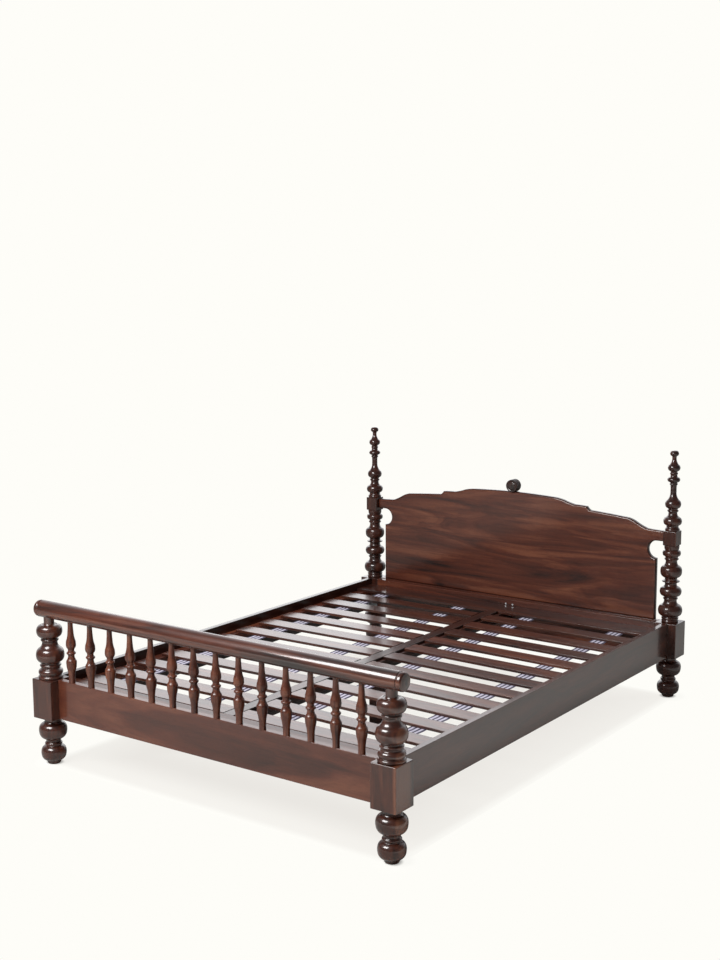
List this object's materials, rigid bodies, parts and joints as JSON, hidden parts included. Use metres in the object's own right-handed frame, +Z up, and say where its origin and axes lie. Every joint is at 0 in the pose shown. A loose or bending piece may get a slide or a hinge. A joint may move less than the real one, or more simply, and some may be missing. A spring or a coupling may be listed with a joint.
{
  "type": "bed frame",
  "caption": "Hardwood double bed frame with ball-turned posts, a turned baluster foot gallery, a shaped headboard and a slatted deck that carries a mattress.",
  "frame": {"origin": "centre of the footprint on the floor plane, under the middle of the bed", "axes": "+X across the bed to the right seen from the foot, +Y along the bed to the headboard, +Z up"},
  "size_m": [1.676, 2.2268, 1.084],
  "materials": {
    "turned_wood": "glossy varnish on turned hardwood",
    "baluster_wood": "glossy varnish on turned hardwood",
    "board_wood": "glossy varnish on figured hardwood",
    "panel_wood": "satin varnish on figured hardwood, grain across the bed",
    "slat_wood": "satin varnish",
    "plain_wood": "thin stain on plain hardwood",
    "webbing": "woven cotton tape with dark blue stripes",
    "steel": "bright zinc plate"
  },
  "bodies": {
    "root": {"foot_post_left": "turned_wood", "foot_post_right": "turned_wood", "head_post_left": "turned_wood", "head_post_right": "turned_wood", "foot_board": "board_wood", "foot_top_rail": "turned_wood", "side_rail_left": "board_wood", "side_rail_right": "board_wood", "head_rail": "board_wood", "head_cross_rail": "board_wood", "headboard_panel": "panel_wood", "headboard_crest": "turned_wood", "side_cleat_left": "plain_wood", "side_cleat_right": "plain_wood", "foot_cross_board": "slat_wood", "head_cross_board": "slat_wood", "centre_beam": "board_wood", "beam_ledgers": "plain_wood", "centre_leg": "plain_wood", "webbing": "webbing", "steel_brackets": "steel", "screws": "steel", "baluster_01": "baluster_wood", "baluster_02": "baluster_wood", "baluster_03": "baluster_wood", "baluster_04": "baluster_wood", "baluster_05": "baluster_wood", "baluster_06": "baluster_wood", "baluster_07": "baluster_wood", "baluster_08": "baluster_wood", "baluster_09": "baluster_wood", "baluster_10": "baluster_wood", "baluster_11": "baluster_wood", "baluster_12": "baluster_wood", "baluster_13": "baluster_wood", "baluster_14": "baluster_wood", "slat_left_01": "slat_wood", "slat_left_02": "slat_wood", "slat_left_03": "slat_wood", "slat_left_04": "slat_wood", "slat_left_05": "slat_wood", "slat_left_06": "slat_wood", "slat_left_07": "slat_wood", "slat_left_08": "slat_wood", "slat_left_09": "slat_wood", "slat_left_10": "slat_wood", "slat_left_11": "slat_wood", "slat_left_12": "slat_wood", "slat_right_01": "slat_wood", "slat_right_02": "slat_wood", "slat_right_03": "slat_wood", "slat_right_04": "slat_wood", "slat_right_05": "slat_wood", "slat_right_06": "slat_wood", "slat_right_07": "slat_wood", "slat_right_08": "slat_wood", "slat_right_09": "slat_wood", "slat_right_10": "slat_wood", "slat_right_11": "slat_wood", "slat_right_12": "slat_wood"}
  },
  "joints": []
}
